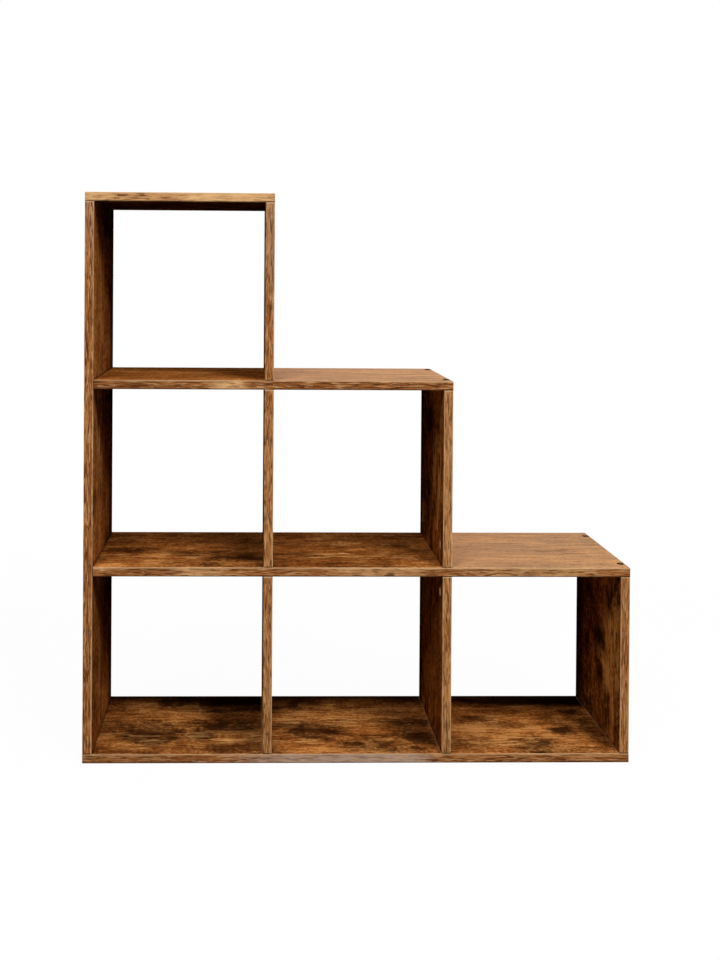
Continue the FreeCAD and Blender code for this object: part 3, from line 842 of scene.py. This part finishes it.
def speckled(name, colour, dark_share, **surface):
    """A rolled or turned surface with a fine speckle."""
    material, tree, shader = material_tree(name)
    speckle = spread_layer(tree, object_place(tree), "fitting_speckle")
    dark = tuple(dark_share * level for level in colour[:3]) + (1.0,)
    finish_fitting(tree, shader, mix(tree, speckle, dark, colour), speckle, **surface)
    return material


def cap_finish():
    """Dark brown plastic whose crown has a painted paler sheen inside a dark rim."""
    material, tree, shader = material_tree("cap_plastic")
    speckle = spread_layer(tree, object_place(tree), "fitting_speckle")
    x, _, z = facing(tree)
    outward = either(tree, z, calc(tree, "MULTIPLY", x, -1.0))
    # Painted sheen where the dome faces up or left.
    crown = both(tree, remap(tree, outward, *CROWN_EDGE), eased(tree, speckle, CROWN_SHEEN_SHARE, 1.0))
    colour = mix(tree, crown, CAP_RIM, CAP_CROWN_SHEEN)
    finish_fitting(tree, shader, colour, speckle, roughness=0.35, metallic=0.0, specular=0.02)
    return material


def cam_finish():
    """Cast zinc of the cam locks, pale in the front row, partly as a painted glint, and dark with painted
    shade in the rear row.
    """
    material, tree, shader = material_tree("cam_zinc")
    place = object_place(tree)
    speckle = spread_layer(tree, place, "fitting_speckle")
    bright = mix(tree, speckle, ZINC_DULL, ZINC_BRIGHT)
    _, y, _ = axes_of(tree, place)
    # Painted shade: the rear row is dark.
    colour = mix(tree, above(tree, y, 0.0), bright, ZINC_PAINTED_SHADE)
    finish_fitting(tree, shader, colour, speckle, roughness=0.4, metallic=0.5, specular=0.0)
    shader.inputs["Specular Tint"].default_value = ZINC_TINT
    return material


def shelf_patch(face, x, y, half_x, half_y, depth, strength):
    """A patch on a level face, with its place and half sizes in millimetres."""
    return (x * MM, y * MM, face), (half_x * MM, half_y * MM, depth), strength


def upright_patch(face, y, z, half_y, half_z, depth, strength):
    """A patch on a standing face, with its place and half sizes in millimetres."""
    return (face, y * MM, z * MM), (depth, half_y * MM, half_z * MM), strength


def shelf_mark(face, x, y, half_x, half_y, strength):
    """A ragged patch on a shelf."""
    halves = (MARK_SPREAD_SHARE * half_x, MARK_SPREAD_SHARE * half_y)
    return shelf_patch(face, x, y, *halves, MARK_DEPTH, strength)


def upright_mark(face, y, z, half_y, half_z, strength):
    """A ragged patch on one face of an upright."""
    halves = (MARK_SPREAD_SHARE * half_y, MARK_SPREAD_SHARE * half_z)
    return upright_patch(face, y, z, *halves, MARK_DEPTH, strength)


def shelf_band_patch(shelf, x, half_x, strength):
    """A stretch of a shelf's front band, with its place and half size in millimetres."""
    centre = (x * MM, FRONT, middle(shelf, "z"))
    return centre, (half_x * MM, BAND_DEPTH, BAND_DEPTH), strength


def upright_band_patch(upright, z, half_z, strength):
    """A stretch of an upright's front band, with its place and half size in millimetres."""
    centre = (middle(upright, "x"), FRONT, z * MM)
    return centre, (UPRIGHT_BAND_DEPTH, BAND_DEPTH, half_z * MM), strength


SHELF_MARKS = [shelf_mark(BOTTOM_TOP, *row) for row in (
    (-334, 110, 32, 26, 1.2),
    # Partly painted shade: the dark rear of the left cell.
    (-212, 96, 70, 46, 1.4),
    (-362, -54, 42, 46, 1.6),
    (-436, -14, 34, 28, 0.8),
    (-228, -14, 66, 30, 1.1),
    (-272, -52, 22, 28, 1.3),
    (-229, -128, 70, 22, 0.85),
    (-410, -136, 80, 16, 0.6),
    (-448, 107, 22, 34, 0.7),
    (-66, -36, 38, 32, 1.5),
    (-124, -5, 26, 13, 0.8),
    (-24, 3, 42, 13, 0.5),
    (112, -2, 48, 22, 1.0),
    (111, -64, 36, 34, 1.0),
    (16, -107, 40, 28, 1.0),
    (-114, 103, 44, 26, 1.0),
    (130, 124, 40, 20, 0.8),
    (76, 58, 30, 16, 0.5),
    (126, -88, 30, 26, 0.7),
    (91, -130, 34, 22, 1.0),
    (31, 67, 18, 26, 0.5),
    (426, 58, 18, 14, 1.05),
    (386, -37, 17, 17, 1.0),
    (281, -7, 30, 17, 0.75),
    (226, 18, 32, 12, 0.7),
    (326, -122, 32, 32, 1.1),
    (400, -130, 60, 16, 0.6),
    (451, -37, 20, 60, 0.8),
    (200, -100, 44, 28, 0.7),
    (430, 122, 50, 26, 1.0),
)] + [shelf_mark(LOWER_TOP, *row) for row in (
    (-409, -12, 42, 22, 0.85),
    (-250, -44, 72, 14, 1.0),
    (-216, -77, 54, 24, 1.0),
    (-262, -120, 17, 13, 1.2),
    (-184, 7, 26, 60, 0.3),
    (61, 29, 32, 20, 0.9),
    (136, -12, 24, 16, 0.5),
    (-104, -52, 34, 20, 0.5),
    (-250, -128, 110, 24, 0.45),
    (0, -128, 150, 22, 0.35),
    (55, -134, 70, 14, 0.6),
    (-315, 62, 40, 24, 0.5),
    (-29, 27, 36, 18, 0.5),
    (-24, 60, 46, 16, 0.5),
    (393, 53, 14, 11, 0.4),
    (335, -42, 18, 7, 0.4),
    (258, 40, 20, 10, 0.3),
)] + [
    # Painted shade under the top panel.
    shelf_patch(TOP_UNDER, -315, 0, 400, 300, MARK_DEPTH, 1.6),
]
SHELF_LIFTS = [shelf_mark(BOTTOM_TOP, *row) for row in (
    (300, -50, 110, 60, 1.0),
    (215, -60, 50, 50, 0.8),
    (-90, -105, 60, 40, 1.1),
    (-218, -68, 54, 20, 1.2),
    (-330, 50, 80, 44, 1.2),
    (-400, -88, 50, 28, 1.1),
    (-40, 40, 100, 40, 0.8),
    (-119, -52, 24, 30, 1.2),
    (-39, -84, 26, 22, 1.2),
    (-309, -112, 24, 20, 0.9),
    (60, -90, 60, 50, 0.8),
)] + [shelf_mark(LOWER_TOP, *row) for row in (
    (-390, -110, 60, 26, 0.35),
    (-330, -62, 60, 14, 0.5),
)]
SHELF_CRACKS = [shelf_mark(BOTTOM_TOP, *row) for row in (
    (-385, -70, 50, 40, 1.0),
    (-230, -62, 70, 26, 1.0),
    (312, -92, 70, 16, 1.0),
    (-124, -92, 40, 14, 1.0),
    (-20, 4, 110, 18, 0.9),
    (260, 0, 60, 24, 0.8),
)] + [shelf_mark(LOWER_TOP, *row) for row in (
    (-334, -60, 80, 14, 1.0),
    (6, -56, 120, 18, 1.0),
)]
SHELF_PATCHES = {
    "Marks": SHELF_MARKS,
    "Calm": [
        shelf_patch(LOWER_TOP, 320, 0, 200, 400, CALM_DEPTH, 0.85),
        shelf_patch(MIDDLE_TOP, -150, 0, 700, 400, CALM_DEPTH, 0.85),
        shelf_patch(TOP_FACE, -315, 0, 400, 400, CALM_DEPTH, 0.8),
        shelf_patch(LOWER_TOP, -150, 0, 450, 400, CALM_DEPTH, 0.45),
        shelf_patch(BOTTOM_TOP, 0, 0, 900, 400, CALM_DEPTH, 0.3),
    ],
    "Lift": SHELF_LIFTS,
    "Cracks": SHELF_CRACKS,
}

UPRIGHT_MARKS = [upright_mark(MIDDLE_FACE, *row) for row in (
    (42, 444, 50, 36, 1.0),
    (37, 594, 46, 42, 0.9),
    (-78, 569, 26, 34, 0.8),
    (-52, 444, 28, 26, 0.8),
    (-132, 414, 14, 24, 0.7),
    (-110, 372, 36, 30, 0.5),
    (95, 520, 40, 40, 0.6),
)] + [upright_mark(END_FACE, *row) for row in (
    (-12, 174, 38, 20, 1.2),
    (-15, 119, 20, 20, 1.0),
    (75, 145, 16, 20, 0.9),
    (-87, 272, 20, 26, 0.9),
    (-130, 282, 15, 18, 0.9),
    (-62, 62, 22, 40, 0.9),
    (-127, 57, 22, 45, 0.8),
    (60, 230, 50, 40, 0.7),
    (80, 60, 50, 40, 0.7),
)] + [
    # Painted shade over the left faces in line with the lower left divider.
    upright_patch(DIVIDER_FACE, 60, 500, 180, 900, MARK_DEPTH, 1.0),
    upright_mark(LEFT_INNER, -134, 454, 16, 24, 0.8),
    # Painted shadow of the board above, at the upper rear of each cell on the left side panel.
    upright_mark(LEFT_INNER, 80, 980, 110, 56, 1.3),
    upright_mark(LEFT_INNER, 90, 612, 90, 40, 1.0),
    upright_mark(LEFT_INNER, 100, 290, 80, 70, 1.2),
]
UPRIGHT_PATCHES = {
    "Marks": UPRIGHT_MARKS,
    "Calm": [
        upright_patch(LEFT_INNER, 0, 500, 400, 900, CALM_DEPTH, 0.6),
        upright_patch(MIDDLE_FACE, 0, 165, 400, 110, CALM_DEPTH, 0.6),
    ],
    "Lift": [
        upright_mark(END_FACE, -85, 150, 34, 150, 1.5),
        upright_mark(MIDDLE_FACE, -85, 480, 40, 130, 1.4),
        upright_mark(MIDDLE_FACE, -125, 600, 20, 40, 1.0),
        upright_mark(LEFT_INNER, -60, 720, 60, 60, 0.5),
    ],
    "Cracks": [
        upright_mark(END_FACE, -85, 150, 30, 160, 1.0),
        upright_mark(MIDDLE_FACE, -85, 500, 40, 140, 0.8),
        upright_mark(LEFT_INNER, -90, 720, 50, 60, 0.6),
        upright_mark(LEFT_INNER, -60, 560, 40, 60, 0.8),
    ],
}

# Pale stretches of the shelves' front bands: the top panel's are painted highlights and the bottom panel's
# a painted reflection of the floor.
SHELF_BAND_PALE_AND_HIGHLIGHTS = [shelf_band_patch(*row) for row in (
    ("bottom_panel", -80, 105, 0.95),
    ("bottom_panel", 20, 85, 1.3),
    ("bottom_panel", 80, 45, 1.0),
    ("top_panel", -236, 80, 1.2),
    ("top_panel", -470, 50, 0.8),
    ("top_panel", -320, 400, 0.36),
    ("middle_shelf", -226, 26, 0.72),
    ("lower_shelf", -276, 40, 0.45),
    ("lower_shelf", 40, 80, 0.36),
    ("lower_shelf", 310, 110, 0.36),
)]
SHELF_BAND_SHADES = [shelf_band_patch(*row) for row in (
    ("middle_shelf", -400, 100, 0.2),
    ("lower_shelf", -367, 50, 0.22),
    ("lower_shelf", -105, 40, 0.12),
    ("bottom_panel", -400, 120, 0.14),
)]
UPRIGHT_BAND_WASHES = [upright_band_patch(*row) for row in (
    ("upper_end_panel", 970, 120, 0.6),
    ("middle_end_panel", 500, 200, 0.65),
    ("lower_right_divider", 80, 120, 0.45),
    ("lower_left_divider", 140, 130, 0.45),
    ("middle_divider", 470, 120, 0.4),
    ("left_side_panel", 970, 70, 0.4),
    ("lower_end_panel", 300, 60, 0.35),
)]


def spun_cap(mesh, radius, height, place):
    """Adds one domed cap to a mesh, standing on the origin along z and then set at its place."""
    points = [mesh.verts.new((share * radius, 0.0, rise * height)) for share, rise in CAP_PROFILE_SHARES]
    edges = [mesh.edges.new(pair) for pair in zip(points, points[1:])]
    turn = {"cent": (0.0, 0.0, 0.0), "axis": (0.0, 0.0, 1.0), "angle": 2 * math.pi}
    bmesh.ops.spin(mesh, geom=points + edges, steps=CAP_STEPS, use_merge=True, **turn)
    fresh = [vert for vert in mesh.verts if not vert.tag]
    bmesh.ops.remove_doubles(mesh, verts=fresh, dist=CAP_WELD)
    fresh = [vert for vert in mesh.verts if not vert.tag]
    bmesh.ops.transform(mesh, matrix=place, verts=fresh)
    for vert in fresh:
        vert.tag = True


def screw_caps(node, way, finish):
    """The domed caps of one board, in place of its cap node."""
    low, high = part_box(node)
    sample_low, sample_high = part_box("lower_shelf_screw_caps")
    radius = (sample_high.x - sample_low.x) / 2
    height = sample_high.z - LOWER_TOP
    mesh = bmesh.new()
    for y in (low.y + radius, high.y - radius):
        if way == "z":
            spots = sorted({round(low.x + radius, SPOT_DIGITS), round(high.x - radius, SPOT_DIGITS)})
            places = [Matrix.Translation((x, y, high.z - height)) for x in spots]
        else:
            lean = Matrix.Rotation(CAP_LEAN, 4, "Y")
            spots = (low.z + radius, high.z - radius)
            places = [Matrix.Translation((low.x + height, y, z)) @ lean for z in spots]
        for place in places:
            spun_cap(mesh, radius, height, place)
    bmesh.ops.recalc_face_normals(mesh, faces=mesh.faces[:])
    data = bpy.data.meshes.new(node + "_domes")
    mesh.to_mesh(data)
    mesh.free()
    data.shade_smooth()
    data.materials.append(finish)
    piece = bpy.data.objects.new(node + "_domes", data)
    bpy.context.collection.objects.link(piece)
    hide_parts(node)
    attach(piece, "root")


def dress():
    """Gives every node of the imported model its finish."""
    groups = {"patch": patch_group(), "print": rustic_print_group(), "band": band_print_group()}
    shelf_board = laminate("shelf_laminate", groups, SHELF_PATCHES, shelf_colour, SHELF_RUN)
    upright_board = laminate("upright_laminate", groups, UPRIGHT_PATCHES, upright_colour, UPRIGHT_RUN)
    shelf_strip = shelf_band(groups)
    upright_strip = upright_band("upright_band", groups, True)
    side_strip = upright_band("side_band", groups, False)
    steel = speckled("screw_steel", STEEL, dark_share=0.7, roughness=0.3, metallic=1.0, specular=0.5)
    zinc = cam_finish()
    beech = speckled("dowel_beech", BEECH, dark_share=0.8, roughness=0.6, metallic=0.0, specular=0.3)
    cap = cap_finish()
    for name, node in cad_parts.items():
        if name in SHELVES:
            finish = shelf_board
        elif name in UPRIGHTS:
            finish = upright_board
        elif name == "left_side_panel_edge_bands":
            finish = side_strip
        elif name.endswith("_edge_bands"):
            finish = shelf_strip if name.removesuffix("_edge_bands") in SHELVES else upright_strip
        elif name.endswith("_caps"):
            finish = cap
        elif name.endswith("_cam_locks"):
            finish = zinc
        elif "dowel" in name:
            finish = beech
        else:
            finish = steel
        node.data.materials.clear()
        node.data.materials.append(finish)
    for node, way in CAP_NODES.items():
        screw_caps(node, way, cap)


def photo_camera():
    """The camera at the photograph's place, looking as it does."""
    forward = Vector((
        math.sin(CAMERA_YAW) * math.cos(CAMERA_PITCH),
        math.cos(CAMERA_YAW) * math.cos(CAMERA_PITCH),
        -math.sin(CAMERA_PITCH),
    ))
    level_right = Vector((math.cos(CAMERA_YAW), -math.sin(CAMERA_YAW), 0.0))
    level_up = level_right.cross(forward)
    right = math.cos(CAMERA_ROLL) * level_right + math.sin(CAMERA_ROLL) * level_up
    up = math.cos(CAMERA_ROLL) * level_up - math.sin(CAMERA_ROLL) * level_right
    longest = max(IMAGE_WIDTH, IMAGE_HEIGHT)
    lens = bpy.data.cameras.new("photo_camera")
    lens.sensor_width = SENSOR_MM
    lens.lens = FOCAL_PIXELS * SENSOR_MM / longest
    lens.shift_x = (IMAGE_WIDTH / 2 - AXIS_PIXEL[0]) / longest
    lens.shift_y = (AXIS_PIXEL[1] - IMAGE_HEIGHT / 2) / longest
    camera = bpy.data.objects.new("photo_camera", lens)
    turn = Matrix((right, up, -forward)).transposed()
    camera.matrix_world = Matrix.Translation(CAMERA_PLACE) @ turn.to_4x4()
    bpy.context.collection.objects.link(camera)
    bpy.context.scene.camera = camera


def seen_share(tree):
    """1 for rays that show the background: from the camera, from gloss and through glass."""
    path = tree.nodes.new("ShaderNodeLightPath").outputs
    return either(tree, path["Is Camera Ray"], path["Is Glossy Ray"], path["Is Transmission Ray"])


def floor():
    """A pale floor that shows as the photograph's white and keeps a faint soft shadow."""
    bpy.ops.mesh.primitive_plane_add(size=FLOOR_SIZE)
    plane = bpy.context.object
    plane.name = "floor"
    material, tree, shader = material_tree("floor_paper")
    seen = seen_share(tree)
    fill_inputs(tree, shader, {
        "Base Color": mix(tree, seen, FLOOR_GREY, WHITE),
        "Roughness": 1.0,
        "Specular IOR Level": 0.0,
    })
    glow = put(tree, "Emission", {}, {"Color": WHITE, "Strength": 1.0})
    away = length(tree, object_place(tree))
    share = both(tree, seen, remap(tree, away, FLOOR_NEAR, FLOOR_FAR, FLOOR_WHITE_SHARE, 1.0))
    blend = put(tree, "MixShader", {}, {0: share, 1: shader.outputs[0], 2: glow.outputs[0]})
    tree.links.new(blend.outputs[0], tree.nodes["Material Output"].inputs["Surface"])
    plane.data.materials.append(material)


def studio_world():
    """White where it is seen; the lamps alone light the shelf."""
    world = bpy.data.worlds.new("studio")
    world.use_nodes = True
    tree = world.node_tree
    fill_inputs(tree, tree.nodes["Background"], {"Color": WHITE, "Strength": seen_share(tree)})
    bpy.context.scene.world = world


def lamp(name, azimuth, elevation, level):
    """A square soft lamp aimed at the middle of the shelf."""
    light = bpy.data.lights.new(name, "AREA")
    light.shape = "SQUARE"
    light.size = LAMP_SIZE
    light.energy = level * math.pi ** 2 * LAMP_DISTANCE ** 2
    way = Vector((
        math.sin(azimuth) * math.cos(elevation),
        -math.cos(azimuth) * math.cos(elevation),
        math.sin(elevation),
    ))
    made = bpy.data.objects.new(name, light)
    made.location = LAMP_AIM + LAMP_DISTANCE * way
    made.rotation_euler = way.to_track_quat("Z", "Y").to_euler()
    bpy.context.collection.objects.link(made)


def rim(name, way, level):
    """A level sun from one side, which lights only what faces it."""
    light = bpy.data.lights.new(name, "SUN")
    light.energy = level * math.pi
    light.angle = RIM_ANGLE
    made = bpy.data.objects.new(name, light)
    made.rotation_euler = Vector(way).to_track_quat("Z", "Y").to_euler()
    made.visible_glossy = False
    bpy.context.collection.objects.link(made)


def studio():
    """Floor, background and lamps."""
    floor()
    studio_world()
    for name, azimuth, elevation, level in LAMPS:
        lamp(name, math.radians(azimuth), math.radians(elevation), level)
    for name, way, level in RIMS:
        rim(name, way, level)


dress()
photo_camera()
studio()
bpy.context.scene.view_settings.view_transform = "Standard"
